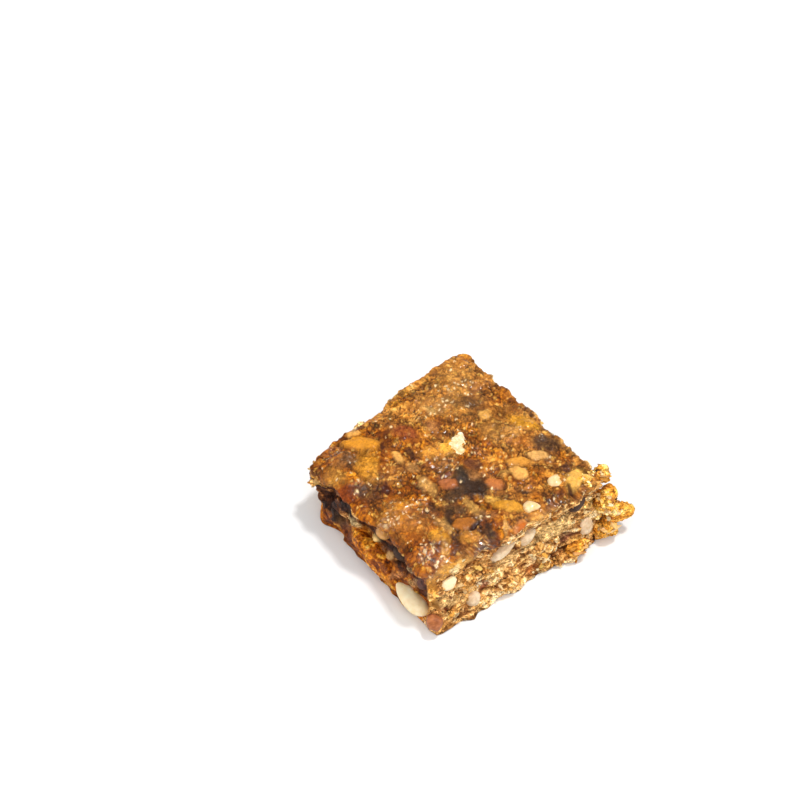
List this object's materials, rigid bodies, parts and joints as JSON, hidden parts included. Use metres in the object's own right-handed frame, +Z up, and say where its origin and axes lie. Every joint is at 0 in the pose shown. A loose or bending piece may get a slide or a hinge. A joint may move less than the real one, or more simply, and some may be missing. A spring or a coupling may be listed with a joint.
{
  "type": "energy bar",
  "caption": "Hand-cut square of pressed energy bar: chopped nuts, seeds, dried fruit and chocolate under a glossy syrup skin, crumbly at its cut sides.",
  "frame": {"origin": "middle of the bounding box at the flat underside, on the surface that the bar rests on", "axes": "+Z up through the bar's thickness, -Y out of the crumbly cut side nearest the viewer on the right, -X out of the torn dark side on the left"},
  "size_m": [0.0442, 0.0448, 0.015],
  "materials": {
    "mix": "sticky amber-brown mix of chopped nuts and syrup, glossy on the pressed skin, dry and crumbly on the cut sides",
    "cashew": "smooth cream nut",
    "golden_nut": "syrup-soaked golden nut",
    "chocolate": "dark chocolate, dull where cut",
    "raisin": "dark wrinkled dried fruit",
    "fruit": "translucent amber dried fruit",
    "almond": "red-brown nut skin",
    "kernel": "pale grey-cream seed kernel",
    "seed": "cream sesame-like seed"
  },
  "bodies": {
    "root": {"bar_mix": "mix", "cashew_chunk": "cashew", "apricot_slab": "fruit", "chip_left": "chocolate", "raisin_left": "raisin", "dark_edge_left": "chocolate", "tan_nut_left": "golden_nut", "almond_corner": "almond", "cream_nut_front": "cashew", "kernel_front_1": "kernel", "kernel_front_2": "kernel", "kernel_front_3": "kernel", "kernel_front_4": "kernel", "dark_flake_front": "chocolate", "nut_long_top": "golden_nut", "nut_pale_top": "cashew", "chip_middle_top": "chocolate", "chip_back_top": "chocolate", "skin_left_top": "almond", "skin_right_top": "almond", "kernel_yellow_top": "golden_nut", "seed_golden_top": "seed", "seed_pale_top": "seed", "seed_sesame_top": "seed", "seed_cream_top": "seed"}
  },
  "joints": []
}
